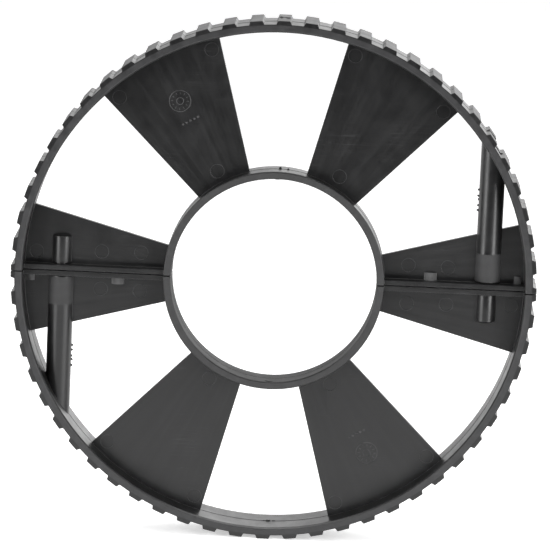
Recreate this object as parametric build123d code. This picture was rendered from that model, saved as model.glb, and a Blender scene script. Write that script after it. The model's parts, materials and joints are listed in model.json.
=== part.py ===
from build123d import *
import math
import os

# Two-piece toothed ring that clamps around a round tube. Two identical half rings, turned
# half a turn from each other about the ring's axis, are pulled together by two long screws.
# Millimetres. The ring's axis is Y, the split between the halves is the plane z = 0, and the
# origin is the centre of the ring.

# Toothed rim
CREST_RADIUS = 130.0
VALLEY_RADIUS = 128.2
RIM_INNER_RADIUS = 124.2
RIM_WIDTH = 29.0
RIM_EDGE_CHAMFER = 0.9
TOOTH_COUNT = 60
TOOTH_CREST_WIDTH = 6.0
TOOTH_ROOT_WIDTH = 7.4

# Hub ring
HUB_OUTER_RADIUS = 54.8
HUB_BORE_RADIUS = 51.0
HUB_WIDTH = 19.5
HUB_EDGE_CHAMFER = 0.4

# Web plates between hub and rim, in the middle of the width
WEB_THICKNESS = 2.5
WEB_COUNT = 6
WINDOW_ANGLE = 30.0

# Split between the two halves
SPLIT_GAP = 0.5
FLANGE_THICKNESS = 2.4
FLANGE_DEPTH = 14.5

# Clamp screw: its axis, and the long tube and short boss it runs through. The tube and the
# boss narrow at the foot, where they meet the split flange.
SCREW_AXIS_X = 105.8
TUBE_DIAMETER = 12.4
TUBE_ROOT_DIAMETER = 12.7
TUBE_BORE_DIAMETER = 9.0
SEAT_HEIGHT = 17.5
CLEARANCE_HOLE_DIAMETER = 5.0
BOSS_DIAMETER = 9.8
BOSS_TOP = 17.2
BOSS_EDGE_CHAMFER = 0.6
FOOT_CHAMFER = 1.0
PILOT_DIAMETER = 4.6
PILOT_DEPTH = 14.0
SCREW_RELIEF_DIAMETER = 8.6
RELIEF_DEPTH = 0.5

# Locating pegs and sockets: distance from the centre, peg diameter, socket boss diameter
INNER_PEG = (77.5, 3.0, 6.8)
OUTER_PEG = (120.8, 2.0, 4.4)
SOCKET_CLEARANCE = 0.2
SOCKET_BOSS_TOP = 6.4
SOCKET_DEPTH = 5.0
PEG_REACH = 3.9
PEG_TIP_CHAMFER = 0.5
PEG_RELIEF_DIAMETER = 5.6

# Round marks left by the ejector pins on the front of the web plates
MARK_DIAMETER = 6.6
MARK_DEPTH = 0.15
MARK_OUTER_RADIUS = 118.2
MARK_INNER_RADIUS = 60.5
MARK_SPREAD_ANGLE = 12.6
HALF_WEB_MARKS = [(-118.4, 8.3), (-86.0, 9.4), (-66.4, 9.7), (66.4, 9.7), (86.0, 9.4)]

# Screw
SCREW_LENGTH = 30.0
SCREW_THREAD_DIAMETER = 4.5
SCREW_CORE_DIAMETER = 3.2
SCREW_SHANK_DIAMETER = 3.6
SCREW_PITCH = 2.0
SCREW_THREAD_TURNS = 10
SCREW_TIP_LENGTH = 3.0
SCREW_HEAD_DIAMETER = 8.2
SCREW_HEAD_HEIGHT = 3.2
SCREW_HEAD_RIM = 1.1
RECESS_WIDTH = 1.2
RECESS_SPAN = 4.6
RECESS_DEPTH = 2.0

FAR = 2 * CREST_RADIUS
RING_PLANE = Plane.XZ


def thick(sketch, width):
    """A sketch drawn in the ring's plane, made `width` thick about its middle."""
    return extrude(RING_PLANE * sketch, width / 2, both=True)


def upright(x, diameter, bottom, top):
    """A round bar parallel to Z on the ring's mid-plane."""
    bar = Cylinder(diameter / 2, top - bottom, align=(Align.CENTER, Align.CENTER, Align.MIN))
    return Pos(x, 0, bottom) * bar


def block(x_low, x_high, depth, z_low, z_high):
    """A box about the mid-plane, `depth` thick along Y."""
    middle = Pos((x_low + x_high) / 2, 0, (z_low + z_high) / 2)
    return middle * Box(x_high - x_low, depth, z_high - z_low)


def edge_circles(part, radius):
    """The circular edges of one radius."""
    circles = part.edges().filter_by(GeomType.CIRCLE)
    return circles.filter_by(lambda edge: abs(edge.radius - radius) < 1e-4)


def toothed_rim():
    root = TOOTH_ROOT_WIDTH / 2
    crest = TOOTH_CREST_WIDTH / 2
    sunk = VALLEY_RADIUS - 1.0
    outline = [(sunk, -root), (VALLEY_RADIUS, -root), (CREST_RADIUS, -crest)]
    outline += [(CREST_RADIUS, crest), (VALLEY_RADIUS, root), (sunk, root)]
    tooth = Polygon(*outline, align=None)
    teeth = PolarLocations(0, TOOTH_COUNT) * tooth
    rim = thick(Circle(VALLEY_RADIUS) + teeth - Circle(RIM_INNER_RADIUS), RIM_WIDTH)
    return chamfer(edge_circles(rim, RIM_INNER_RADIUS), RIM_EDGE_CHAMFER)


def hub_ring():
    hub = thick(Circle(HUB_OUTER_RADIUS) - Circle(HUB_BORE_RADIUS), HUB_WIDTH)
    rims = edge_circles(hub, HUB_OUTER_RADIUS) + edge_circles(hub, HUB_BORE_RADIUS)
    return chamfer(rims, HUB_EDGE_CHAMFER)


def web_plates():
    half_opening = FAR * math.tan(math.radians(WINDOW_ANGLE / 2))
    window = Polygon((0, 0), (FAR, -half_opening), (FAR, half_opening), align=None)
    first_window = 180.0 / WEB_COUNT
    windows = PolarLocations(0, WEB_COUNT, start_angle=first_window) * window
    middle_of_rim = (RIM_INNER_RADIUS + VALLEY_RADIUS) / 2
    middle_of_hub = (HUB_OUTER_RADIUS + HUB_BORE_RADIUS) / 2
    return thick(Circle(middle_of_rim) - Circle(middle_of_hub) - windows, WEB_THICKNESS)


def split_flanges():
    top = SPLIT_GAP / 2 + FLANGE_THICKNESS
    inner = HUB_OUTER_RADIUS - 1.0
    outer = RIM_INNER_RADIUS + 1.0
    right = block(inner, outer, FLANGE_DEPTH, SPLIT_GAP / 2, top)
    return right + mirror(right, Plane.YZ)


def footed(x, diameter, top):
    """A round bar that narrows at its foot, where it meets the top of the split flange."""
    foot = SPLIT_GAP / 2 + FLANGE_THICKNESS
    bar = upright(x, diameter, foot, top)
    bar = chamfer(bar.edges().group_by(Axis.Z)[0], FOOT_CHAMFER)
    return bar + upright(x, diameter - 2 * FOOT_CHAMFER, SPLIT_GAP / 2, top)


def long_tube():
    """The screw's tube, a little thicker below the screw's seat."""
    tube = upright(SCREW_AXIS_X, TUBE_DIAMETER, SEAT_HEIGHT - 1.0, CREST_RADIUS)
    inside_the_rim = thick(Circle(VALLEY_RADIUS - 1.0), RIM_WIDTH)
    return (tube + footed(SCREW_AXIS_X, TUBE_ROOT_DIAMETER, SEAT_HEIGHT)) & inside_the_rim


def short_boss():
    boss = footed(-SCREW_AXIS_X, BOSS_DIAMETER, BOSS_TOP)
    return chamfer(boss.edges().group_by(Axis.Z)[-1], BOSS_EDGE_CHAMFER)


def screw_holes():
    """Everything cut for the two screws: one passes down, the other comes up from below."""
    bore = upright(SCREW_AXIS_X, TUBE_BORE_DIAMETER, SEAT_HEIGHT, CREST_RADIUS)
    clearance = upright(SCREW_AXIS_X, CLEARANCE_HOLE_DIAMETER, -1.0, SEAT_HEIGHT)
    pilot = upright(-SCREW_AXIS_X, PILOT_DIAMETER, -1.0, PILOT_DEPTH)
    relief_top = SPLIT_GAP / 2 + RELIEF_DEPTH
    reliefs = upright(SCREW_AXIS_X, SCREW_RELIEF_DIAMETER, -1.0, relief_top)
    reliefs += upright(-SCREW_AXIS_X, SCREW_RELIEF_DIAMETER, -1.0, relief_top)
    return bore + clearance + pilot + reliefs


def peg(distance, diameter):
    """A locating peg that stands out of the left flange and across the split."""
    bar = upright(-distance, diameter, -PEG_REACH, FLANGE_THICKNESS)
    return chamfer(bar.edges().group_by(Axis.Z)[0], PEG_TIP_CHAMFER)


def ejector_marks():
    marks = list(HALF_WEB_MARKS)
    for web_angle in (60.0, 120.0):
        middle = Vector(1, 0, 0).rotate(Axis.Z, web_angle)
        marks.append((middle.X * MARK_INNER_RADIUS, middle.Y * MARK_INNER_RADIUS))
        for side in (-MARK_SPREAD_ANGLE, MARK_SPREAD_ANGLE):
            spot = middle.rotate(Axis.Z, side) * MARK_OUTER_RADIUS
            marks.append((spot.X, spot.Y))
    front = RING_PLANE.offset(WEB_THICKNESS / 2 - MARK_DEPTH)
    return [extrude(front * Pos(x, z) * Circle(MARK_DIAMETER / 2), 1.0) for x, z in marks]


def half_ring():
    """One moulding: the half above the split."""
    above_split = block(-FAR, FAR, FAR, SPLIT_GAP / 2, FAR)
    body = (toothed_rim() + hub_ring() + web_plates()) & above_split
    body = body + split_flanges() + long_tube() + short_boss()
    for distance, diameter, boss_diameter in (INNER_PEG, OUTER_PEG):
        body += upright(distance, boss_diameter, SPLIT_GAP / 2, SOCKET_BOSS_TOP)
    body -= screw_holes()
    relief_top = SPLIT_GAP / 2 + RELIEF_DEPTH
    body -= upright(INNER_PEG[0], PEG_RELIEF_DIAMETER, -1.0, relief_top)
    for distance, diameter, boss_diameter in (INNER_PEG, OUTER_PEG):
        body -= upright(distance, diameter + SOCKET_CLEARANCE, -1.0, SOCKET_DEPTH)
        body += peg(distance, diameter)
    return body - ejector_marks()


def screw_profile():
    """Half outline of the screw, from its tip up, with the head's seat at z = 0."""
    core = SCREW_CORE_DIAMETER / 2
    ridge = SCREW_THREAD_DIAMETER / 2
    points = [(0, -SCREW_LENGTH), (0.3, -SCREW_LENGTH), (core, SCREW_TIP_LENGTH - SCREW_LENGTH)]
    for turn in range(SCREW_THREAD_TURNS):
        start = SCREW_TIP_LENGTH - SCREW_LENGTH + turn * SCREW_PITCH
        points += [(core, start + 0.45 * SCREW_PITCH), (ridge, start + 0.68 * SCREW_PITCH)]
        points += [(ridge, start + 0.77 * SCREW_PITCH), (core, start + SCREW_PITCH)]
    shank = SCREW_SHANK_DIAMETER / 2
    thread_top = SCREW_TIP_LENGTH - SCREW_LENGTH + SCREW_THREAD_TURNS * SCREW_PITCH
    return points + [(shank, thread_top + 0.4), (shank, 0)]


def screw():
    head = SCREW_HEAD_DIAMETER / 2
    outline = screw_profile() + [(head, 0), (head, SCREW_HEAD_RIM)]
    side = Polyline(*outline)
    rise = SCREW_HEAD_HEIGHT - SCREW_HEAD_RIM
    dome_radius = (head**2 + rise**2) / (2 * rise)
    half_way = math.asin(head / dome_radius) / 2
    shoulder_height = SCREW_HEAD_HEIGHT - dome_radius * (1 - math.cos(half_way))
    shoulder = (dome_radius * math.sin(half_way), shoulder_height)
    dome = ThreePointArc((head, SCREW_HEAD_RIM), shoulder, (0, SCREW_HEAD_HEIGHT))
    axis_line = Line((0, SCREW_HEAD_HEIGHT), (0, -SCREW_LENGTH))
    turned = revolve(Plane.XZ * make_face(side + dome + axis_line), Axis.Z)
    slot = Box(RECESS_SPAN, RECESS_WIDTH, 2 * RECESS_DEPTH)
    cross = slot + Rot(0, 0, 90) * slot
    return turned - Pos(0, 0, SCREW_HEAD_HEIGHT) * cross


def turned_over(part):
    """The same part after half a turn about the ring's axis."""
    return Rot(0, 180, 0) * part


def main():
    os.makedirs("parts", exist_ok=True)
    upper = half_ring()
    right_screw = Pos(SCREW_AXIS_X, 0, SEAT_HEIGHT) * screw()
    nodes = {
        "upper_half_ring": upper,
        "lower_half_ring": turned_over(upper),
        "right_clamp_screw": right_screw,
        "left_clamp_screw": turned_over(right_screw),
    }
    for name, part in nodes.items():
        export_step(part, f"parts/{name}.step")


main()
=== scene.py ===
# %% [markdown]
# # A two-piece toothed ring that clamps round a tube
# The object is two identical black polypropylene mouldings, pulled together by two long
# screws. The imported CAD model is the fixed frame: it says where everything is and how it
# moves. This notebook adds what a mould and a little use leave on the real thing.

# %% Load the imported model
import json
import math

import bmesh
import bpy
from mathutils import Matrix, Vector, noise


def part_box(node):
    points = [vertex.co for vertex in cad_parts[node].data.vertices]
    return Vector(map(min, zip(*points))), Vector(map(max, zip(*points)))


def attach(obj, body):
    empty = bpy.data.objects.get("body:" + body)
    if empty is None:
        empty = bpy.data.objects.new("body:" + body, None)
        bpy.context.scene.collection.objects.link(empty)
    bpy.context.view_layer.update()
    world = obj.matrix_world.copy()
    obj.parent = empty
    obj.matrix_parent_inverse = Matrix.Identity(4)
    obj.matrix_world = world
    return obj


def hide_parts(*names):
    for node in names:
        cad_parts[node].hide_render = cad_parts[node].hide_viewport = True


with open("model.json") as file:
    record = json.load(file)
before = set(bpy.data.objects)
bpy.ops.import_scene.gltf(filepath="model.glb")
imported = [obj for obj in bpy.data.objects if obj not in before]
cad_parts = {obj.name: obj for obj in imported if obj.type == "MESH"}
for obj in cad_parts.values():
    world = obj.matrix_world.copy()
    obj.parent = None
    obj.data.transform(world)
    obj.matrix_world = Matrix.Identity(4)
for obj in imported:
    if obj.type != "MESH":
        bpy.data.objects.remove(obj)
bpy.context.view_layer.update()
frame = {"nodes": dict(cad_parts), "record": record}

print("nodes:", sorted(frame["nodes"]))

# %% [markdown]
# ## Measures
# The ring's axis is Y with the front face towards -Y, the halves meet at z = 0, and the
# origin is the ring's centre. Overall sizes are read from the frame. The few that a bounding
# box can't tell are named first, in metres.

# %% Measures
MM = 0.001
TOOTH_HEIGHT = 1.8 * MM
RIM_WALL = 4.0 * MM
HUB_WALL = 3.8 * MM
WEB_FRONT = -1.25 * MM
TUBE_RADIUS = 6.20 * MM
ROOT_RADIUS = 6.35 * MM
BOSS_RADIUS = 4.90 * MM
SCREW_LENGTH = 30.0 * MM

_, half_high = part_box("upper_half_ring")
screw_low, screw_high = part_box("right_clamp_screw")
mounts = {mount["name"]: mount for mount in frame["record"]["mounts"]}

CREST_RADIUS = half_high.z
VALLEY_RADIUS = CREST_RADIUS - TOOTH_HEIGHT
RIM_INNER_RADIUS = VALLEY_RADIUS - RIM_WALL
HALF_WIDTH = half_high.y
HUB_BORE_RADIUS = mounts["hub_bore"]["dims"]["r_mm"] * MM
HUB_OUTER_RADIUS = HUB_BORE_RADIUS + HUB_WALL
SCREW_AXIS = Vector(((screw_low.x + screw_high.x) / 2, 0.0, 0.0))
SEAT_HEIGHT = screw_low.z + SCREW_LENGTH
HALVES = {
    "upper": ("upper_half", Matrix.Identity(4)),
    "lower": ("lower_half", Matrix.Rotation(math.pi, 4, "Y")),
}
print(f"crest radius {CREST_RADIUS * 1000:.1f} mm, width {HALF_WIDTH * 2000:.1f} mm")

# %% [markdown]
# ## The camera
# A product shot of a thin ring is taken with a long lens from a little above, so that the
# circle stays nearly a circle and the top of the rim still shows. Here the ring also stands a
# little turned on its teeth, which is the same as rolling the camera about the ring's axis.

# %% Camera
VIEW_ELEVATION = math.radians(10.15)
VIEW_AZIMUTH = math.radians(1.60)
RING_ROLL = math.radians(2.39)
VIEW_DISTANCE = 2.0345
SHIFT_RIGHT = 0.88 * MM
SHIFT_UP = 3.90 * MM
LENS = 269.7
SENSOR_WIDTH = 36.0
FARTHEST_SEEN = 50.0


def new_object(name, data):
    """An object that holds the data, linked to the scene."""
    made = bpy.data.objects.new(name, data)
    bpy.context.scene.collection.objects.link(made)
    return made


forward = Vector((
    -math.sin(VIEW_AZIMUTH) * math.cos(VIEW_ELEVATION),
    math.cos(VIEW_AZIMUTH) * math.cos(VIEW_ELEVATION),
    -math.sin(VIEW_ELEVATION),
))
right = Vector((math.cos(VIEW_AZIMUTH), math.sin(VIEW_AZIMUTH), 0.0))
up = right.cross(forward)
front_centre = Vector((0.0, -HALF_WIDTH, 0.0))
eye = front_centre - forward * VIEW_DISTANCE + right * SHIFT_RIGHT + up * SHIFT_UP

camera = new_object("camera", bpy.data.cameras.new("camera"))
camera.data.sensor_width = SENSOR_WIDTH
camera.data.lens = LENS
camera.data.clip_end = FARTHEST_SEEN
turned = Matrix((right, up, -forward)).transposed().to_4x4()
camera.matrix_world = Matrix.Rotation(-RING_ROLL, 4, "Y") @ Matrix.Translation(eye) @ turned
bpy.context.scene.camera = camera
print("camera at", [round(value, 3) for value in camera.matrix_world.translation])

# %% [markdown]
# ## Small helpers for shader nodes
# Every finish below is a tree of nodes. `add_node` makes one node, sets its properties, and
# fills or links its sockets, so that a tree reads like a list of steps. `new_group` starts a
# group with named inputs and outputs, which is how one effect is shared by several finishes,
# and `use_group` places it in a material with that material's own values.

# %% Node helpers
def feed(tree, socket, value):
    """Link an output to a socket, or give the socket a plain value."""
    if isinstance(value, bpy.types.NodeSocket):
        tree.links.new(value, socket)
    else:
        socket.default_value = value


def add_node(tree, kind, sockets=None, **settings):
    """A shader node. sockets maps an input's name or index to a value or to an output."""
    made = tree.nodes.new("ShaderNode" + kind)
    for key, value in settings.items():
        setattr(made, key, value)
    for key, value in (sockets or {}).items():
        feed(tree, made.inputs[key], value)
    return made


def calculate(tree, operation, *values):
    """A Math node's output."""
    return add_node(tree, "Math", dict(enumerate(values)), operation=operation).outputs[0]


def remap(tree, value, low, high, to_low=0.0, to_high=1.0):
    """A value stretched from one range to another, and held inside it."""
    sockets = {"Value": value, "From Min": low, "From Max": high}
    sockets.update({"To Min": to_low, "To Max": to_high})
    return add_node(tree, "MapRange", sockets).outputs["Result"]


def mix_colour(tree, share, first, second):
    """A colour between two. A Mix node's two colours are its sockets 6 and 7."""
    sockets = {0: share, 6: first, 7: second}
    return add_node(tree, "Mix", sockets, data_type="RGBA").outputs[2]


def new_material(name):
    material = bpy.data.materials.new(name)
    material.use_nodes = True
    tree = material.node_tree
    return material, tree, tree.nodes["Principled BSDF"]


print("node helpers ready")

# %% Group helpers
def new_group(name, inputs, outputs):
    """A node group, its input node and its output node. inputs maps a name to a default."""
    group = bpy.data.node_groups.new(name, "ShaderNodeTree")
    for label, value in inputs.items():
        socket = group.interface.new_socket(
            label, in_out="INPUT", socket_type="NodeSocketFloat")
        socket.default_value = value
    for label in outputs:
        group.interface.new_socket(label, in_out="OUTPUT", socket_type="NodeSocketFloat")
    return group, group.nodes.new("NodeGroupInput"), group.nodes.new("NodeGroupOutput")


def use_group(tree, group, **values):
    """A group placed in a tree, with spaces in its socket names written as underscores."""
    made = tree.nodes.new("ShaderNodeGroup")
    made.node_tree = group
    for key, value in values.items():
        made.inputs[key.replace("_", " ")].default_value = value
    return made


print("group helpers ready")

# %% [markdown]
# ## Where a pattern lies
# Every pattern is laid out in the piece's own coordinates, which are the frame's, so that it
# stays on the piece when a joint moves. Noise can be sized by its scale or by the size of
# its features, which is one over the scale.

# %% Position helpers
def object_position(tree):
    return add_node(tree, "TexCoord").outputs["Object"]


def object_noise(tree, scale, **sockets):
    """Noise on the piece's own coordinates."""
    sockets.update({"Vector": object_position(tree), "Scale": scale})
    return add_node(tree, "TexNoise", sockets).outputs["Fac"]


def sized_noise(tree, size, **sockets):
    """Noise whose features are about as long as a group's input says."""
    return object_noise(tree, calculate(tree, "DIVIDE", 1.0, size), **sockets)


def axis_distance(tree, place):
    """How far a separated position is from the ring's axis."""
    flat = add_node(tree, "CombineXYZ", {"X": place.outputs["X"], "Z": place.outputs["Z"]})
    length = add_node(tree, "VectorMath", {0: flat.outputs[0]}, operation="LENGTH")
    return length.outputs["Value"]


print("position helpers ready")

# %% [markdown]
# ## What a mould leaves on plastic
# Polypropylene shrinks against the steel and copies it: a faint satin grain everywhere, and
# broad, very shallow ripples where the wall sank as it cooled. One group makes both as a
# height, from two sizes of noise on the piece's own coordinates.

# %% Satin grain
RIPPLE_SHARE = 1.6

grain_group, grain_in, grain_out = new_group(
    "moulded_grain", {"Grain Size": 0.5 * MM, "Ripple Size": 9.0 * MM}, ["Height", "Ripple"])
fine = sized_noise(grain_group, grain_in.outputs["Grain Size"], Detail=3.0, Roughness=0.6)
broad = sized_noise(grain_group, grain_in.outputs["Ripple Size"], Detail=2.0)
ripples = calculate(grain_group, "MULTIPLY", broad, RIPPLE_SHARE)
feed(grain_group, grain_out.inputs["Height"], calculate(grain_group, "ADD", fine, ripples))
feed(grain_group, grain_out.inputs["Ripple"], broad)
print("group", grain_group.name)

# %% [markdown]
# ## Flow lines
# The melt enters at the hub and the rim and runs along the webs, and where fronts of it meet
# they leave faint streaks. They follow the radius, so the group first turns the position
# into an angle and a radius, and stretches the noise a long way along the radius.

# %% Flow lines
ALONG_RADIUS = 14.0
ACROSS_WIDTH = 60.0

flow_group, flow_in, flow_out = new_group("flow_lines", {"Streaks": 26.0}, ["Mask"])
flow_place = add_node(flow_group, "SeparateXYZ", {0: object_position(flow_group)})
flow_angle = calculate(
    flow_group, "ARCTAN2", flow_place.outputs["Z"], flow_place.outputs["X"])
flow_radius = axis_distance(flow_group, flow_place)
stretched = add_node(flow_group, "CombineXYZ", {
    "X": calculate(flow_group, "MULTIPLY", flow_angle, flow_in.outputs["Streaks"]),
    "Y": calculate(flow_group, "MULTIPLY", flow_radius, ALONG_RADIUS),
    "Z": calculate(flow_group, "MULTIPLY", flow_place.outputs["Y"], ACROSS_WIDTH),
})
streaks = add_node(flow_group, "TexNoise", {
    "Vector": stretched.outputs[0], "Scale": 1.0, "Detail": 4.0, "Distortion": 0.6})
feed(flow_group, flow_out.inputs["Mask"],
     remap(flow_group, streaks.outputs["Fac"], low=0.42, high=0.72))
print("group", flow_group.name)

# %% [markdown]
# ## Rubbed edges
# Handling polishes and lightens the corners first. A Bevel node looks round each corner and
# turns the normal, so the angle between it and the true normal tells how near the corner is.
# Noise breaks the line up, because wear is never even.

# %% Rubbed edges
wear_group, wear_in, wear_out = new_group(
    "rubbed_edges", {"Reach": 0.35 * MM, "Patch Size": 5.0 * MM}, ["Mask"])
rounded = add_node(wear_group, "Bevel", {"Radius": wear_in.outputs["Reach"]}, samples=4)
true_normal = add_node(wear_group, "NewGeometry").outputs["Normal"]
turned_by = add_node(wear_group, "VectorMath", {
    0: rounded.outputs["Normal"], 1: true_normal}, operation="DOT_PRODUCT")
corner = remap(wear_group, turned_by.outputs["Value"], low=0.98, high=0.80)
patches = sized_noise(wear_group, wear_in.outputs["Patch Size"], Detail=4.0)
worn = remap(wear_group, patches, low=0.42, high=0.66)
feed(wear_group, wear_out.inputs["Mask"], calculate(wear_group, "MULTIPLY", corner, worn))
print("group", wear_group.name)

# %% [markdown]
# ## Rubbed faces and painted highlight
# The ring rolls on the crests of its teeth and is laid down on the plain band of its two end
# faces, so those lose their skin first and go duller and a little paler. Their paler colour
# is also painted highlight: it stands in for the light that the open end faces and crests
# catch while the webs between the walls lie in shade. The group finds both by where they
# are: the largest radius, and the largest distance from the middle of the width, short of
# the roots of the teeth.

# %% Rubbed faces, painted paler as highlight
BELOW_TEETH = 0.6 * MM
FACE_PATCH_SCALE = 240.0

lit_face_group, lit_face_in, lit_face_out = new_group("rubbed_and_highlight_faces", {"Depth": 0.25 * MM}, ["Mask"])
face_place = add_node(lit_face_group, "SeparateXYZ", {0: object_position(lit_face_group)})
face_radius = axis_distance(lit_face_group, face_place)
below_crest = calculate(lit_face_group, "SUBTRACT", CREST_RADIUS, face_radius)
off_middle = calculate(lit_face_group, "ABSOLUTE", face_place.outputs["Y"])
below_face = calculate(lit_face_group, "SUBTRACT", HALF_WIDTH, off_middle)
above_band = calculate(lit_face_group, "SUBTRACT", face_radius, VALLEY_RADIUS - BELOW_TEETH)
off_band = calculate(lit_face_group, "MAXIMUM", below_face, above_band)
nearest = calculate(lit_face_group, "MINIMUM", below_crest, off_band)
depth_share = calculate(lit_face_group, "DIVIDE", nearest, lit_face_in.outputs["Depth"])
# This mask is partly wear and partly painted highlight: it makes the end faces and crests
# paler for the light they catch.
rubbed = remap(lit_face_group, depth_share, low=1.0, high=0.6)
face_patch_noise = object_noise(lit_face_group, FACE_PATCH_SCALE, Detail=4.0)
uneven = remap(lit_face_group, face_patch_noise, low=0.30, high=0.70, to_low=0.55, to_high=1.0)
feed(lit_face_group, lit_face_out.inputs["Mask"], calculate(lit_face_group, "MULTIPLY", rubbed, uneven))
print("group", lit_face_group.name)

# %% [markdown]
# ## Hairline scratches
# Fine scuffs are long, thin and run every way. Noise squeezed almost flat in one direction
# gives hairlines, and keeping only a thin slice of its values leaves a few of them. Two
# layers at different angles are enough.

# %% Hairline scratches
SCRATCH_ANGLES = ((0.2, 0.5, 0.3), (0.7, -1.1, 0.3))
SCRATCH_SQUEEZE = (16.0, 500.0, 900.0)
SCUFFED_SCALE = 38.0
MIDDLE_VALUE = 0.5

scratch_group, scratch_in, scratch_out = new_group(
    "hairline_scratches", {"Density": 1.0}, ["Mask"])
layers = []
for rotation in SCRATCH_ANGLES:
    squeezed = add_node(scratch_group, "Mapping", {
        "Vector": object_position(scratch_group), "Rotation": rotation,
        "Scale": SCRATCH_SQUEEZE})
    lines = add_node(scratch_group, "TexNoise", {
        "Vector": squeezed.outputs[0], "Scale": 1.0, "Detail": 1.0})
    off_slice = calculate(scratch_group, "SUBTRACT", lines.outputs["Fac"], MIDDLE_VALUE)
    off_slice = calculate(scratch_group, "ABSOLUTE", off_slice)
    layers.append(remap(scratch_group, off_slice, low=0.008, high=0.0))
scuffed = object_noise(scratch_group, SCUFFED_SCALE)
where = remap(scratch_group, scuffed, low=0.52, high=0.66)
both = calculate(scratch_group, "MAXIMUM", *layers)
kept = calculate(scratch_group, "MULTIPLY", both, where)
feed(scratch_group, scratch_out.inputs["Mask"],
     calculate(scratch_group, "MULTIPLY", kept, scratch_in.outputs["Density"]))
print("group", scratch_group.name)

# %% [markdown]
# ## Settled dust
# Dust lies where a surface faces up. The mask is the upward part of the normal, broken into
# specks by a fine noise.

# %% Settled dust
dust_group, dust_in, dust_out = new_group("settled_dust", {"Speck Size": 0.7 * MM}, ["Mask"])
facing = add_node(dust_group, "SeparateXYZ", {
    0: add_node(dust_group, "NewGeometry").outputs["Normal"]})
upward = remap(dust_group, facing.outputs["Z"], low=0.2, high=0.9)
specks = sized_noise(dust_group, dust_in.outputs["Speck Size"], Detail=5.0, Roughness=0.7)
specked = remap(dust_group, specks, low=0.50, high=0.72)
feed(dust_group, dust_out.inputs["Mask"],
     calculate(dust_group, "MULTIPLY", upward, specked))
print("group", dust_group.name)

# %% [markdown]
# ## Black polypropylene
# The plastic itself is nearly black, and most of what the eye sees is the satin sheen on it.
# So the colour changes very little, apart from the painted highlight on the rim's end faces
# and crests, and the roughness carries the ripples, the flow lines and the scuffs. The grain
# is a bump of a few hundredths of a millimetre.

# %% One finish of the plastic
# The paler tone of wear on corners and scratches, and of painted highlight on the rim's end
# faces and crests.
RUBBED_AND_HIGHLIGHT_COLOUR = (0.050, 0.050, 0.052, 1.0)
DUST_COLOUR = (0.20, 0.195, 0.185, 1.0)
PLASTIC_IOR = 1.49
GRAIN_STRENGTH = 0.6


def black_plastic(name, colours, roughnesses, grain_size, bump_height, scratched=1.0):
    """Moulded black polypropylene. Its colour and roughness each run between two values."""
    material, tree, shader = new_material(name)
    grain = use_group(tree, grain_group, Grain_Size=grain_size)
    flow = use_group(tree, flow_group).outputs["Mask"]
    wear = use_group(tree, wear_group).outputs["Mask"]
    # This mask paints highlight as well as wear: the rim's end faces and crests go paler.
    faces = use_group(tree, lit_face_group).outputs["Mask"]
    scratches = use_group(tree, scratch_group, Density=scratched).outputs["Mask"]
    dust = use_group(tree, dust_group).outputs["Mask"]

    paler = (
        (wear, 0.50, RUBBED_AND_HIGHLIGHT_COLOUR), (faces, 0.45, RUBBED_AND_HIGHLIGHT_COLOUR),
        (scratches, 0.35, RUBBED_AND_HIGHLIGHT_COLOUR), (dust, 0.10, DUST_COLOUR))
    colour = mix_colour(tree, flow, *colours)
    for mask, share, goes_to in paler:
        colour = mix_colour(tree, calculate(tree, "MULTIPLY", mask, share), colour, goes_to)
    feed(tree, shader.inputs["Base Color"], colour)

    duller = ((flow, 0.05), (scratches, 0.15), (faces, 0.12))
    smoothest, roughest = roughnesses
    roughness = remap(
        tree, grain.outputs["Ripple"], low=0.35, high=0.65,
        to_low=smoothest, to_high=roughest)
    for mask, share in duller:
        added = calculate(tree, "MULTIPLY", mask, share)
        roughness = calculate(tree, "ADD", roughness, added)
    feed(tree, shader.inputs["Roughness"], roughness)
    feed(tree, shader.inputs["IOR"], PLASTIC_IOR)

    bump = add_node(tree, "Bump", {
        "Height": grain.outputs["Height"], "Distance": bump_height,
        "Strength": GRAIN_STRENGTH})
    feed(tree, shader.inputs["Normal"], bump.outputs["Normal"])
    return material


print("the plastic has an index of refraction of", PLASTIC_IOR)

# %% [markdown]
# ## The five plastic finishes
# The hub's bore and the roots of the screw tubes were left as the spark eroder cut them in
# the mould, so they are matt and a little paler. The tubes and bosses above were bored in it
# and polished. Raised marks and the peg sockets are rubbed paler still.

# %% Plastic finishes
SKIN_COLOURS = ((0.0065, 0.0065, 0.0068, 1.0), (0.0100, 0.0100, 0.0104, 1.0))
MATT_COLOURS = ((0.0230, 0.0230, 0.0235, 1.0), (0.0300, 0.0300, 0.0305, 1.0))
MARK_COLOURS = ((0.0150, 0.0150, 0.0154, 1.0), (0.0480, 0.0480, 0.0488, 1.0))
SOCKET_COLOURS = ((0.0850, 0.0850, 0.0860, 1.0), (0.1200, 0.1200, 0.1210, 1.0))

moulded_black = black_plastic(
    "moulded_black_polypropylene", SKIN_COLOURS, roughnesses=(0.32, 0.38),
    grain_size=0.50 * MM, bump_height=0.02 * MM)
eroded_black = black_plastic(
    "spark_eroded_black_polypropylene", MATT_COLOURS, roughnesses=(0.66, 0.76),
    grain_size=0.35 * MM, bump_height=0.05 * MM, scratched=0.3)
polished_black = black_plastic(
    "polished_black_polypropylene", SKIN_COLOURS, roughnesses=(0.28, 0.34),
    grain_size=0.60 * MM, bump_height=0.01 * MM)
marked_black = black_plastic(
    "rubbed_mark_black_polypropylene", MARK_COLOURS, roughnesses=(0.50, 0.60),
    grain_size=0.40 * MM, bump_height=0.04 * MM)
socket_black = black_plastic(
    "rubbed_socket_black_polypropylene", SOCKET_COLOURS, roughnesses=(0.50, 0.60),
    grain_size=0.40 * MM, bump_height=0.04 * MM)
MOULDING_FINISHES = (moulded_black, eroded_black, polished_black, socket_black)
print("materials", [material.name for material in (*MOULDING_FINISHES, marked_black)])

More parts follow.
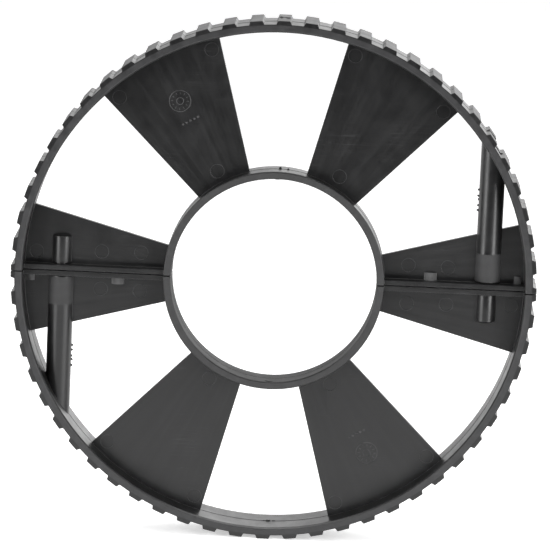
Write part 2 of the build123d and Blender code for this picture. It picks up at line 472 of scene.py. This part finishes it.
# %% [markdown]
# ## Torn plastic
# A gate is the stub where the melt came in. It is broken off by hand, so the scar is coarse,
# matt and darker than the satin skin beside it, with pale stressed crests here and there.

# %% Torn plastic
TORN_COLOUR = (0.008, 0.008, 0.008, 1.0)
STRESSED_COLOUR = (0.060, 0.060, 0.062, 1.0)
FIBRE_SCALE = 1800.0
TORN_DEPTH = 0.15 * MM

torn_black, torn_tree, torn_shader = new_material("torn_black_polypropylene")
fibres = object_noise(torn_tree, FIBRE_SCALE, Detail=6.0, Roughness=0.75)
stressed = remap(torn_tree, fibres, low=0.58, high=0.80, to_low=0.0, to_high=0.5)
torn_roughness = remap(torn_tree, fibres, low=0.3, high=0.7, to_low=0.75, to_high=0.95)
torn_bump = add_node(torn_tree, "Bump", {
    "Height": fibres, "Distance": TORN_DEPTH, "Strength": 0.9})
feed(torn_tree, torn_shader.inputs["Base Color"],
     mix_colour(torn_tree, stressed, TORN_COLOUR, STRESSED_COLOUR))
feed(torn_tree, torn_shader.inputs["Roughness"], torn_roughness)
feed(torn_tree, torn_shader.inputs["Normal"], torn_bump.outputs["Normal"])
feed(torn_tree, torn_shader.inputs["IOR"], PLASTIC_IOR)
print("material", torn_black.name)

# %% [markdown]
# ## Bright zinc plate
# The screws are steel with a thin bright plating. Barrel plating leaves small dull patches
# and dings, and the metal is slightly blue where the passivation is thicker.

# %% Bright zinc
ZINC_COLOUR = (0.66, 0.66, 0.65, 1.0)
BLUE_ZINC_COLOUR = (0.52, 0.56, 0.61, 1.0)
PATCH_SCALE = 420.0
DING_SCALE = 900.0
DING_DEPTH = 0.02 * MM

zinc_plate, zinc_tree, zinc_shader = new_material("bright_zinc_plate")
dull_patches = object_noise(zinc_tree, PATCH_SCALE, Detail=4.0)
dings = add_node(zinc_tree, "TexVoronoi", {
    "Vector": object_position(zinc_tree), "Scale": DING_SCALE})
blued = remap(zinc_tree, dull_patches, low=0.40, high=0.62)
zinc_roughness = remap(
    zinc_tree, dull_patches, low=0.35, high=0.65, to_low=0.22, to_high=0.42)
zinc_bump = add_node(zinc_tree, "Bump", {
    "Height": remap(zinc_tree, dings.outputs["Distance"], low=0.0, high=0.35),
    "Distance": DING_DEPTH, "Strength": 0.5})
feed(zinc_tree, zinc_shader.inputs["Base Color"],
     mix_colour(zinc_tree, blued, ZINC_COLOUR, BLUE_ZINC_COLOUR))
feed(zinc_tree, zinc_shader.inputs["Roughness"], zinc_roughness)
feed(zinc_tree, zinc_shader.inputs["Metallic"], 1.0)
feed(zinc_tree, zinc_shader.inputs["Normal"], zinc_bump.outputs["Normal"])
print("material", zinc_plate.name)

# %% [markdown]
# ## From a bmesh to a finished piece
# Each piece is shaped as a bmesh in place, in the frame's own coordinates, so that its object
# can stay at the origin. `finish_piece` writes the mesh, gives it its material, and says
# which body it moves with.

# %% Finish a piece
SHARP_ANGLE = math.radians(35)


def plain_object(name, shape):
    """A bmesh written to a mesh and put in the scene as an object at the origin."""
    mesh = bpy.data.meshes.new(name)
    shape.to_mesh(mesh)
    shape.free()
    return new_object(name, mesh)


def finish_piece(name, shape, body, material):
    piece = plain_object(name, shape)
    piece.data.shade_smooth()
    piece.data.set_sharp_from_angle(angle=SHARP_ANGLE)
    piece.data.materials.append(material)
    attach(piece, body)
    print(name, len(piece.data.polygons), "faces")
    return piece


# %% [markdown]
# ## The two half rings, with real corners
# The CAD halves are the right shape, but their corners are perfectly sharp, and no mould
# makes those: each one has a small radius that catches the light as a thin bright line. A
# Bevel node would only fake it in the shading. Here a merged copy of the node is cleaned of
# its flat triangles, and its long corners get a true rounding of 0.2 mm. Short edges, such as
# the rims of the ejector marks, stay crisp, because a rounding wider than a face would fold
# it.

# %% Round the corners of a copy
CORNER_RADIUS = 0.20 * MM
LONG_EDGE = 4.0 * MM
MERGE_DISTANCE = 0.002 * MM
FLAT_ANGLE = math.radians(0.3)
SLACK = 0.1 * MM


def flat_radius(point):
    """Distance from the ring's axis."""
    return math.hypot(point.x, point.z)


def is_outer_corner(edge):
    """A sharp edge of the rim or hub, or a long straight one of a web or flange."""
    if not edge.is_manifold or edge.calc_face_angle() < SHARP_ANGLE:
        return False
    radius = flat_radius((edge.verts[0].co + edge.verts[1].co) / 2)
    on_rim = radius > RIM_INNER_RADIUS - SLACK
    on_hub = radius < HUB_OUTER_RADIUS + SLACK
    return on_rim or on_hub or edge.calc_length() > LONG_EDGE


def softened_copy(node):
    shape = bmesh.new()
    shape.from_mesh(frame["nodes"][node].data)
    bmesh.ops.remove_doubles(shape, verts=shape.verts, dist=MERGE_DISTANCE)
    bmesh.ops.dissolve_limit(
        shape, angle_limit=FLAT_ANGLE, verts=shape.verts, edges=shape.edges)
    corners = [edge for edge in shape.edges if is_outer_corner(edge)]
    bmesh.ops.bevel(
        shape, geom=corners, offset=CORNER_RADIUS, affect="EDGES", segments=2,
        profile=0.5, material=-1)
    return shape


print(f"corners rounded to {CORNER_RADIUS * 1000:.1f} mm")

# %% [markdown]
# ## Which finish each face has
# One moulding carries four finishes. A face tells its own by where it lies: on the hub's
# bore, on a root, on a tube or boss, or on a peg socket between the flange and its top. The
# copy then stands for the CAD node, and a Weighted Normal modifier keeps its flat faces flat.

# %% Choose the finish of each face
TUBE_SLACK = 0.05 * MM
FLANGE_TOP = 2.66 * MM
SOCKET_TOP = 6.5 * MM
PEG_SOCKETS = ((77.5 * MM, 3.5 * MM), (120.8 * MM, 2.3 * MM))


def face_finish(polygon, turn):
    """The finish of a moulding's face. turn takes the upper half to this one."""
    centre = turn.inverted() @ polygon.center
    from_tube = math.hypot(centre.x - SCREW_AXIS.x, centre.y)
    from_boss = math.hypot(centre.x + SCREW_AXIS.x, centre.y)
    on_root = abs(from_tube - ROOT_RADIUS) < SLACK and 0.0 < centre.z < SEAT_HEIGHT
    on_tube = abs(from_tube - TUBE_RADIUS) < TUBE_SLACK
    on_boss = abs(from_boss - BOSS_RADIUS) < TUBE_SLACK
    on_socket = FLANGE_TOP < centre.z < SOCKET_TOP and any(
        math.hypot(centre.x - x, centre.y) < radius for x, radius in PEG_SOCKETS)
    if flat_radius(centre) < HUB_BORE_RADIUS + TUBE_SLACK or on_root:
        return eroded_black
    if on_tube or on_boss:
        return polished_black
    return socket_black if on_socket else moulded_black


for side, (body, turn) in HALVES.items():
    node = f"{side}_half_ring"
    moulding = finish_piece(
        f"{side}_half_moulding", softened_copy(node), body, moulded_black)
    for material in MOULDING_FINISHES[1:]:
        moulding.data.materials.append(material)
    for polygon in moulding.data.polygons:
        polygon.material_index = MOULDING_FINISHES.index(face_finish(polygon, turn))
    shading = moulding.modifiers.new("flat_faces_stay_flat", "WEIGHTED_NORMAL")
    shading.keep_sharp = True
    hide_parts(node)
    print(moulding.name, "stands for", node)

# %% [markdown]
# ## The same detail on both halves
# Both halves came out of one mould, so every mark on the upper half is on the lower half too,
# half a turn round the ring's axis. Each detail is shaped once, for the upper half.

# %% Put a detail on both halves
def on_both_halves(name, make_shape, material):
    for side, (body, turn) in HALVES.items():
        shape = make_shape()
        bmesh.ops.transform(shape, matrix=turn, verts=shape.verts)
        finish_piece(f"{side}_{name}", shape, body, material)


print("details go on", ", ".join(HALVES))

# %% [markdown]
# ## The parting line
# The mould opens along the ring's axis, so its two sides met at the middle of the width. A
# thread of melt crept in between and left a ridge a tenth of a millimetre high round the
# teeth, the inside of the rim and both sides of the hub. The crests of the teeth have rubbed
# theirs off. A copy of the moulding is cut at its middle plane. The cut edges on those
# surfaces are kept, drawn outwards into a low wall, and given a thickness.

# %% Where the parting line runs
RIDGE_HEIGHT = 0.12 * MM
RIDGE_WIDTH = 0.16 * MM
RIDGE_ROOT = 0.05 * MM
SPLIT_MARGIN = 0.6 * MM
CREST_MARGIN = 0.5 * MM
SCREW_HOLE_RADIUS = 4.7 * MM
CURVED_SURFACES = (RIM_INNER_RADIUS, HUB_BORE_RADIUS, HUB_OUTER_RADIUS)


def carries_the_line(edge):
    first, second = (vert.co for vert in edge.verts)
    middle = (first + second) / 2
    radius = flat_radius(middle)
    on_split_face = max(first.z, second.z) < SPLIT_MARGIN
    in_screw_hole = abs(middle.x - SCREW_AXIS.x) < SCREW_HOLE_RADIUS
    on_curve = any(abs(radius - curve) < SLACK for curve in CURVED_SURFACES)
    on_teeth = VALLEY_RADIUS - SLACK < radius < CREST_RADIUS - CREST_MARGIN
    return (on_curve or on_teeth) and not on_split_face and not in_screw_hole


print(f"parting line {RIDGE_WIDTH * 1000:.2f} mm wide")

# %% Parting line
def parting_line():
    """The cut edges alone, drawn out into a low wall that is then given its thickness."""
    ridge = softened_copy("upper_half_ring")
    everything = ridge.verts[:] + ridge.edges[:] + ridge.faces[:]
    cut = bmesh.ops.bisect_plane(
        ridge, geom=everything, plane_co=(0.0, 0.0, 0.0), plane_no=(0.0, 1.0, 0.0),
        clear_outer=True)
    ridge.normal_update()
    edges = [item for item in cut["geom_cut"] if isinstance(item, bmesh.types.BMEdge)]
    edges = [edge for edge in edges if carries_the_line(edge)]
    outward = {
        vert: Vector((vert.normal.x, 0.0, vert.normal.z)).normalized()
        for edge in edges for vert in edge.verts}
    others = [vert for vert in ridge.verts if vert not in outward]
    bmesh.ops.delete(ridge, geom=others, context="VERTS")
    for vert, direction in outward.items():
        vert.co += Vector((0.0, -RIDGE_WIDTH / 2, 0.0)) - direction * RIDGE_ROOT
    drawn = bmesh.ops.extrude_edge_only(ridge, edges=edges)["geom"]
    for vert in [item for item in drawn if isinstance(item, bmesh.types.BMVert)]:
        foot = next(
            other for other in (edge.other_vert(vert) for edge in vert.link_edges)
            if other in outward)
        vert.co = foot.co + outward[foot] * (RIDGE_ROOT + RIDGE_HEIGHT)
    wall = bmesh.ops.extrude_face_region(ridge, geom=ridge.faces[:])["geom"]
    far_side = [item for item in wall if isinstance(item, bmesh.types.BMVert)]
    bmesh.ops.translate(ridge, verts=far_side, vec=(0.0, RIDGE_WIDTH, 0.0))
    bmesh.ops.recalc_face_normals(ridge, faces=ridge.faces)
    return ridge


on_both_halves("parting_line", parting_line, moulded_black)

# %% [markdown]
# ## Torn lumps
# Where a stub is snapped off or melt escapes, a small torn lump stays. It is made as a ball
# pressed flat along the surface and roughened with noise, so that no two are alike.

# %% Make a torn lump
TORN_NOISE_SCALE = 2.6


def add_lump(shape, place, outward, size, seed, ragged):
    """A torn lump. size is its half length along the surface, half width and height."""
    lump = bmesh.ops.create_icosphere(shape, subdivisions=3, radius=1.0)["verts"]
    outward = Vector(outward).normalized()
    across = Vector((0.0, 1.0, 0.0))
    along = across.cross(outward)
    offset = Vector((seed, 0.0, 7.0 * seed))
    for vert in lump:
        uneven = 1.0 + ragged * noise.noise(vert.co * TORN_NOISE_SCALE + offset)
        spot = vert.co * uneven
        vert.co = (
            Vector(place) + along * (spot.x * size[0]) + across * (spot.y * size[1])
            + outward * (spot.z * size[2]))


print("torn lumps take their unevenness from noise at", TORN_NOISE_SCALE, "a radius")

# %% [markdown]
# ## Gate scars
# The melt came in at points on the middle plane: on the crest of the top tooth, inside the
# rim and on the hub. Each stub was snapped off and left lumps there, and the hub's bore has
# two of its own near the front.

# %% Gate scars
CREST_SUNK = 0.02 * MM
# x, y, half length, half width and height of each scar, in millimetres
CREST_SCARS = ((-1.6, 0.6, 0.9, 3.2, 0.32), (1.8, -0.8, 1.1, 2.6, 0.28),
               (0.3, 1.5, 0.7, 1.2, 0.20))
RIM_SCARS = ((-0.6, 0.0, 5.2, 0.30, 0.18), (-2.1, 0.0, 1.3, 0.95, 0.55),
             (-4.9, 0.0, 0.9, 0.60, 0.35), (-0.2, 0.0, 0.8, 0.45, 0.28))
HUB_SCARS = ((0.8, 0.0, 0.7, 0.5, 0.95), (4.8, 0.0, 0.6, 0.5, 0.60))
BORE_SCARS = ((-0.2, -8.6, 1.6, 0.9, 0.25), (1.4, -7.6, 1.0, 0.9, 0.25))


def add_scars(shape, radius, side, scars, seed, ragged, sunk=0.0):
    """Scars on a round surface. side is 1 where they stand away from the axis, or -1."""
    for number, scar in enumerate(scars):
        x, y, *size = (value * MM for value in scar)
        z = math.sqrt(radius ** 2 - x ** 2) - sunk
        add_lump(shape, (x, y, z), (side * x, 0.0, side * z), size, seed + number, ragged)


def gate_scars():
    shape = bmesh.new()
    add_scars(shape, CREST_RADIUS, 1, CREST_SCARS, seed=0, ragged=0.60, sunk=CREST_SUNK)
    add_scars(shape, RIM_INNER_RADIUS, -1, RIM_SCARS, seed=10, ragged=0.35)
    add_scars(shape, HUB_OUTER_RADIUS, 1, HUB_SCARS, seed=20, ragged=0.50)
    add_scars(shape, HUB_BORE_RADIUS, -1, BORE_SCARS, seed=30, ragged=0.35)
    return shape


on_both_halves("gate_scars", gate_scars, torn_black)

# %% [markdown]
# ## Flash on the long tubes
# Where the mould's sides met along the long screw tube they also let out a few flakes of
# flash. They stand in a row on the side of the tube that faces the middle of the ring.

# %% Tube flash
FLASH_HEIGHTS = (38.7 * MM, 41.2 * MM, 44.2 * MM, 46.0 * MM, 49.0 * MM)
FLASH_LENGTH = 0.55 * MM
FLASH_WIDTH = 0.14 * MM
FLASH_REACHES = (0.75, 0.63, 0.51)
FLASH_SEED = 40


def tube_flash():
    shape = bmesh.new()
    limb = SCREW_AXIS.x - TUBE_RADIUS
    for number, height in enumerate(FLASH_HEIGHTS):
        reach = FLASH_REACHES[number % len(FLASH_REACHES)] * MM
        add_lump(
            shape, (limb, 0.0, height), (-1.0, 0.0, 0.0),
            (FLASH_LENGTH, FLASH_WIDTH, reach), FLASH_SEED + number, ragged=0.6)
    return shape


on_both_halves("tube_flash", tube_flash, torn_black)

# %% [markdown]
# ## Witness rings
# Ejector pins push the hot moulding out of the tool. Round each pin's flat print a whisker of
# melt rose in the clearance and left a fine ring. A ring is a three-sided outline spun a full
# turn, with its foot a little below the web's surface.

# %% Witness rings
PIN_RADIUS = 3.3 * MM
WITNESS_WIDTH = 0.30 * MM
WITNESS_HEIGHT = 0.10 * MM
RIDGE_FOOT = 0.03 * MM
SPIN_STEPS = 64
WHOLE_WEBS = (60.0, 120.0)
HUB_PIN_REACH = 60.5 * MM
RIM_PIN_REACH = 118.2 * MM
RIM_PIN_ASIDE = 12.6
HALF_WEB_PINS = ((-118.4, 8.3), (-86.0, 9.4), (-66.4, 9.7), (66.4, 9.7), (86.0, 9.4))


def on_web(reach, degrees):
    """The x and z of a place on the webs, by its radius and angle."""
    return reach * math.cos(math.radians(degrees)), reach * math.sin(math.radians(degrees))


PIN_PLACES = [(x * MM, z * MM) for x, z in HALF_WEB_PINS]
for web in WHOLE_WEBS:
    PIN_PLACES.append(on_web(HUB_PIN_REACH, web))
    PIN_PLACES += [on_web(RIM_PIN_REACH, web + side * RIM_PIN_ASIDE) for side in (-1, 1)]


def spin_ridge(shape, x, z, radius, width, height):
    """A round ridge on the web's front, spun from a three-sided outline."""
    centre = Vector((x, WEB_FRONT, z))
    outline = ((-width / 2, -RIDGE_FOOT), (0.0, height), (width / 2, -RIDGE_FOOT))
    corners = [
        shape.verts.new(centre + Vector((radius + out, -rise, 0.0))) for out, rise in outline]
    sides = [shape.edges.new((corners[i], corners[(i + 1) % 3])) for i in range(3)]
    bmesh.ops.spin(
        shape, geom=corners + sides, cent=centre, axis=(0.0, 1.0, 0.0), dvec=(0.0, 0.0, 0.0),
        angle=2 * math.pi, steps=SPIN_STEPS, use_merge=True)


def witness_rings():
    shape = bmesh.new()
    for x, z in PIN_PLACES:
        spin_ridge(shape, x, z, PIN_RADIUS + WITNESS_WIDTH / 2, WITNESS_WIDTH, WITNESS_HEIGHT)
    bmesh.ops.recalc_face_normals(shape, faces=shape.faces)
    return shape


on_both_halves("witness_rings", witness_rings, marked_black)

# %% [markdown]
# ## The mould mark
# One web of each half carries a raised mark from the tool. Here it is a plain dial, two rings
# with ticks between them, over a row of five pips.

# %% Measures of the mould mark
MARK_WEB = 120.0
MARK_HEIGHT = 0.18 * MM
DIAL_REACH = 100.0 * MM
DIAL_RADII = (5.3 * MM, 1.7 * MM)
DIAL_LINE = 0.55 * MM
TICKS = 12
TICK_LENGTH = 1.2 * MM
TICK_WIDTH = 0.35 * MM
TICK_REACH = 3.9 * MM
PIPS = 5
PIP_REACH = 89.0 * MM
PIP_SPACING = 2.1 * MM
PIP_RADIUS = 0.6 * MM
PIP_FLATNESS = 0.4
PIP_SUNK = 0.02 * MM
print("the mark has", TICKS, "ticks and", PIPS, "pips")

# %% Mould mark
def add_tick(shape, angle, dial):
    bar = bmesh.ops.create_cube(shape, size=1.0)["verts"]
    bmesh.ops.scale(shape, verts=bar, vec=(TICK_LENGTH, 2 * MARK_HEIGHT, TICK_WIDTH))
    bmesh.ops.translate(shape, verts=bar, vec=(TICK_REACH, WEB_FRONT, 0.0))
    bmesh.ops.rotate(
        shape, verts=bar, cent=(0.0, 0.0, 0.0), matrix=Matrix.Rotation(angle, 3, "Y"))
    bmesh.ops.translate(shape, verts=bar, vec=dial)


def add_pip(shape, x, z):
    pip = bmesh.ops.create_uvsphere(
        shape, u_segments=20, v_segments=12, radius=PIP_RADIUS)["verts"]
    bmesh.ops.scale(shape, verts=pip, vec=(1.0, PIP_FLATNESS, 1.0))
    bmesh.ops.translate(shape, verts=pip, vec=(x, WEB_FRONT + PIP_SUNK, z))


def mould_mark():
    shape = bmesh.new()
    x, z = on_web(1.0, MARK_WEB)
    outward = Vector((x, 0.0, z))
    sideways = Vector((-z, 0.0, x))
    dial = outward * DIAL_REACH
    for radius in DIAL_RADII:
        spin_ridge(shape, dial.x, dial.z, radius, DIAL_LINE, MARK_HEIGHT)
    for tick in range(TICKS):
        add_tick(shape, 2 * math.pi * tick / TICKS, dial)
    for pip in range(PIPS):
        spot = outward * PIP_REACH + sideways * (pip - PIPS // 2) * PIP_SPACING
        add_pip(shape, spot.x, spot.z)
    bmesh.ops.recalc_face_normals(shape, faces=shape.faces)
    return shape


on_both_halves("mould_mark", mould_mark, marked_black)

# %% [markdown]
# ## The body of a clamp screw
# These are pan head screws for plastics: a plain shank, a thin core that tapers to a blunt
# tip, and a domed head. The body is half an outline spun a full turn. Heights are measured up
# from the underside of the head, so the tip is at minus the screw's length.

# %% Screw outline
CORE_RADIUS = 1.6 * MM
SHANK_RADIUS = 1.8 * MM
THREAD_START = -28.9 * MM
THREAD_END = -7.0 * MM
SHANK_END = THREAD_END + 0.5 * MM
TIP_START = -27.0 * MM
TIP_OUTLINE = ((0.0, -SCREW_LENGTH), (0.22 * MM, -SCREW_LENGTH), (0.34 * MM, -29.7 * MM))
HEAD_RADIUS = 4.1 * MM
HEAD_RIM = 1.1 * MM
HEAD_HEIGHT = 3.2 * MM
# how far each point lies beyond the shank or the head's radius, and its height
FILLET = ((0.0, -0.30 * MM), (0.09 * MM, -0.09 * MM), (0.30 * MM, 0.0))
HEAD_EDGE = ((-0.25 * MM, 0.0), (-0.07 * MM, 0.07 * MM), (0.0, 0.25 * MM))
RIM_CORNER = 0.05 * MM
DOME_INSET = 0.03 * MM
DOME_STEPS = 12


def dome_outline():
    """The head's dome, from its rim to its top, with the rim's corner taken off."""
    rise = HEAD_HEIGHT - HEAD_RIM
    dome = (HEAD_RADIUS ** 2 + rise ** 2) / (2 * rise)
    widest = math.asin(HEAD_RADIUS / dome)
    for step in range(DOME_STEPS + 1):
        lean = widest * (1 - step / DOME_STEPS)
        inset = DOME_INSET if step == 0 else 0.0
        yield (dome * math.sin(lean) - inset,
               HEAD_HEIGHT - dome * (1 - math.cos(lean)) + inset)


def screw_outline():
    core = [(CORE_RADIUS, TIP_START), (CORE_RADIUS, THREAD_END), (SHANK_RADIUS, SHANK_END)]
    fillet = [(SHANK_RADIUS + beyond, z) for beyond, z in FILLET]
    edge = [(HEAD_RADIUS + beyond, z) for beyond, z in HEAD_EDGE]
    edge.append((HEAD_RADIUS, HEAD_RIM - RIM_CORNER))
    return [*TIP_OUTLINE, *core, *fillet, *edge, *dome_outline()]


print("screw outline has", len(screw_outline()), "points")

# %% Screw body
BODY_STEPS = 72
WELD_DISTANCE = 0.0005 * MM


def screw_body():
    shape = bmesh.new()
    verts = [shape.verts.new((radius, 0.0, z)) for radius, z in screw_outline()]
    edges = [shape.edges.new(pair) for pair in zip(verts, verts[1:])]
    bmesh.ops.spin(
        shape, geom=verts + edges, cent=(0.0, 0.0, 0.0), axis=(0.0, 0.0, 1.0),
        dvec=(0.0, 0.0, 0.0), angle=2 * math.pi, steps=BODY_STEPS, use_merge=True)
    bmesh.ops.remove_doubles(shape, verts=shape.verts, dist=WELD_DISTANCE)
    bmesh.ops.recalc_face_normals(shape, faces=shape.faces)
    return shape


print("screw body is spun in", BODY_STEPS, "steps")

# %% [markdown]
# ## The thread
# The thread is coarse and rolled. It is a trapezoid spun eleven turns while it climbs, with
# its root buried in the core. It fades out at both ends, as a rolling die leaves it, and
# follows the core down to the tip.

# %% Screw thread
THREAD_RADIUS = 2.25 * MM
PITCH = 2.0 * MM
STEPS_PER_TURN = 36
ROOT_BURIED = 0.12 * MM
ROOT_HALF = 0.52 * MM
CREST_HALF = 0.09 * MM
FADE_LEAD = 0.6 * MM
FADE_IN = 2.2 * MM
FADE_OUT = 1.6 * MM
LEAST_CORE = 0.3 * MM


def core_radius_at(z):
    """The core tapers to a blunt point over the last three millimetres."""
    if z > TIP_START:
        return CORE_RADIUS
    share = (z + SCREW_LENGTH) / (TIP_START + SCREW_LENGTH)
    return max(LEAST_CORE, CORE_RADIUS * share)


def fade_thread(vert, buried):
    """Draw a vertex in towards the core near the thread's two ends."""
    fade = min(1.0, (vert.co.z - THREAD_START + FADE_LEAD) / FADE_IN)
    fade = min(fade, (THREAD_END + FADE_LEAD - vert.co.z) / FADE_OUT)
    radius = math.hypot(vert.co.x, vert.co.y)
    wanted = core_radius_at(vert.co.z) - ROOT_BURIED + (radius - buried) * max(0.0, fade)
    vert.co.x *= wanted / radius
    vert.co.y *= wanted / radius


def screw_thread():
    shape = bmesh.new()
    buried = CORE_RADIUS - ROOT_BURIED
    outline = (
        (buried, -ROOT_HALF), (THREAD_RADIUS, -CREST_HALF),
        (THREAD_RADIUS, CREST_HALF), (buried, ROOT_HALF))
    first = [shape.verts.new((radius, 0.0, THREAD_START + z)) for radius, z in outline]
    sides = [shape.edges.new((first[i], first[(i + 1) % 4])) for i in range(4)]
    steps = round((THREAD_END - THREAD_START) / PITCH * STEPS_PER_TURN)
    spun = bmesh.ops.spin(
        shape, geom=first + sides, cent=(0.0, 0.0, 0.0), axis=(0.0, 0.0, 1.0),
        dvec=(0.0, 0.0, PITCH / STEPS_PER_TURN), angle=2 * math.pi * steps / STEPS_PER_TURN,
        steps=steps)
    last = [item for item in spun["geom_last"] if isinstance(item, bmesh.types.BMEdge)]
    bmesh.ops.contextual_create(shape, geom=sides)
    bmesh.ops.contextual_create(shape, geom=last)
    for vert in shape.verts:
        fade_thread(vert, buried)
    bmesh.ops.recalc_face_normals(shape, faces=shape.faces)
    return shape


print("thread turns", round((THREAD_END - THREAD_START) / PITCH, 1), "times")

# %% [markdown]
# ## The cross recess
# The head takes a cross-point screwdriver. The recess is cut by a Boolean, because a punch
# cuts it in the same way: two tapered blades, narrower towards the bottom, pressed into the
# dome.

# %% Cross recess
BLADE_TOP = (5.2 * MM, 1.25 * MM)
BLADE_BOTTOM = (3.0 * MM, 0.75 * MM)
RECESS_DEPTH = 2.0 * MM
ABOVE_HEAD = 0.8 * MM


def recess_cutter():
    shape = bmesh.new()
    for turn in (0.0, math.pi / 2):
        blade = bmesh.ops.create_cube(shape, size=1.0)["verts"]
        for vert in blade:
            low = vert.co.z < 0
            length, width = BLADE_BOTTOM if low else BLADE_TOP
            vert.co.x *= length
            vert.co.y *= width
            vert.co.z = HEAD_HEIGHT + (-RECESS_DEPTH if low else ABOVE_HEAD)
        bmesh.ops.rotate(
            shape, verts=blade, cent=(0.0, 0.0, 0.0), matrix=Matrix.Rotation(turn, 3, "Z"))
    return shape


print(f"recess {RECESS_DEPTH * 1000:.1f} mm deep")

# %% Cut one shape from another
def cut_away(shape, cutter_shape):
    """The first shape less the second, as a new bmesh."""
    target = plain_object("to_be_cut", shape)
    cutter = plain_object("cutter", cutter_shape)
    cut = target.modifiers.new("cut", "BOOLEAN")
    cut.operation = "DIFFERENCE"
    cut.solver = "EXACT"
    cut.use_self = True
    cut.object = cutter
    bpy.context.view_layer.update()
    evaluated = target.evaluated_get(bpy.context.evaluated_depsgraph_get())
    result = bmesh.new()
    result.from_mesh(evaluated.to_mesh())
    for helper in (target, cutter):
        mesh = helper.data
        bpy.data.objects.remove(helper)
        bpy.data.meshes.remove(mesh)
    return result


print("Boolean cutter ready")

# %% [markdown]
# ## Both clamp screws in place
# The right screw goes down the upper half's long tube, and the left one up the lower half's,
# with their heads on the seats. Each rides on its own body, and its body piece stands for the
# CAD screw.

# %% Clamp screws
SCREWS = {"right": ("upper", "right_screw"), "left": ("lower", "left_screw")}
on_seat = Matrix.Translation(SCREW_AXIS + Vector((0.0, 0.0, SEAT_HEIGHT)))
for side, (half, body) in SCREWS.items():
    to_place = HALVES[half][1] @ on_seat
    parts = {
        "screw": cut_away(screw_body(), recess_cutter()),
        "screw_thread": screw_thread(),
    }
    for label, shape in parts.items():
        bmesh.ops.transform(shape, matrix=to_place, verts=shape.verts)
        finish_piece(
            f"{side}_{label}", shape, body, zinc_plate)
    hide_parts(f"{side}_clamp_screw")

# %% [markdown]
# ## The floor
# The ring stands on a wide pale sheet that runs far back. The sheet glows a little, so that
# it stays white up to the horizon. It ends half a metre in front of the ring, as a table
# does, so that only a little of its light reaches the faces from below.

# %% Floor
FLOOR_FRONT = -0.50
FLOOR_BACK = 14.0
FLOOR_HALF = 14.0
FLOOR_GLOW = 0.48

floor_shape = bmesh.new()
bmesh.ops.create_grid(floor_shape, x_segments=8, y_segments=8, size=1.0)
bmesh.ops.scale(
    floor_shape, verts=floor_shape.verts,
    vec=(FLOOR_HALF, (FLOOR_BACK - FLOOR_FRONT) / 2, 1.0))
bmesh.ops.translate(
    floor_shape, verts=floor_shape.verts,
    vec=(0.0, (FLOOR_BACK + FLOOR_FRONT) / 2, -CREST_RADIUS))
floor = plain_object("studio_floor", floor_shape)

pale_paper, paper_tree, paper_shader = new_material("pale_paper")
PAPER = {
    "Base Color": (0.90, 0.90, 0.90, 1.0), "Roughness": 0.9,
    "Emission Color": (1.0, 1.0, 1.0, 1.0), "Emission Strength": FLOOR_GLOW,
}
for label, value in PAPER.items():
    feed(paper_tree, paper_shader.inputs[label], value)
floor.data.materials.append(pale_paper)
print(floor.name, "at z", round(-CREST_RADIUS, 3))

# %% [markdown]
# ## The softboxes
# Black plastic shows its form by what it reflects. A softbox high overhead brightens what
# turns up, and two upright ones near the ring at its left and right draw a line down each
# tube and light the faces at a grazing angle.

# %% Softboxes
OVERHEAD_SIZE = (1.4, 0.7)
SIDE_SIZE = (0.42, 0.8)
SOFTBOXES = (
    ("overhead_softbox", OVERHEAD_SIZE, 22.0, (0.0, -0.30, 1.7)),
    ("left_softbox", SIDE_SIZE, 8.0, (-0.72, -0.60, 0.16)),
    ("right_softbox", SIDE_SIZE, 9.2, (0.72, -0.60, 0.16)),
)

for name, size, watts, place in SOFTBOXES:
    light = bpy.data.lights.new(name, "AREA")
    light.shape = "RECTANGLE"
    light.size, light.size_y = size
    light.energy = watts
    holder = new_object(name, light)
    holder.location = place
    holder.rotation_euler = (-Vector(place)).to_track_quat("-Z", "Y").to_euler()
    print(name, watts, "W")

# %% [markdown]
# ## The room
# The room is dark on the camera's side and bright behind the ring, brighter towards the
# right, so that the faces stay dark and every surface that turns away picks up a pale edge.
# The camera itself sees plain white, which is what the Light Path node is for.

# %% Room
world = bpy.data.worlds.new("studio")
world.use_nodes = True
bpy.context.scene.world = world
sky = world.node_tree
toward = add_node(sky, "SeparateXYZ", {0: add_node(sky, "TexCoord").outputs["Generated"]})
behind = remap(sky, toward.outputs["Y"], low=0.1, high=0.6, to_low=0.0, to_high=1.5)
rightward = remap(sky, toward.outputs["X"], low=-0.2, high=0.2, to_low=0.65, to_high=1.45)
behind = calculate(sky, "MULTIPLY", behind, rightward)
seen = add_node(sky, "LightPath").outputs["Is Camera Ray"]
background = sky.nodes["Background"]
feed(sky, background.inputs["Strength"], calculate(sky, "MAXIMUM", behind, seen))
feed(sky, background.inputs["Color"], (1.0, 1.0, 1.0, 1.0))
bpy.context.scene.view_settings.view_transform = "Standard"
print("world", world.name)
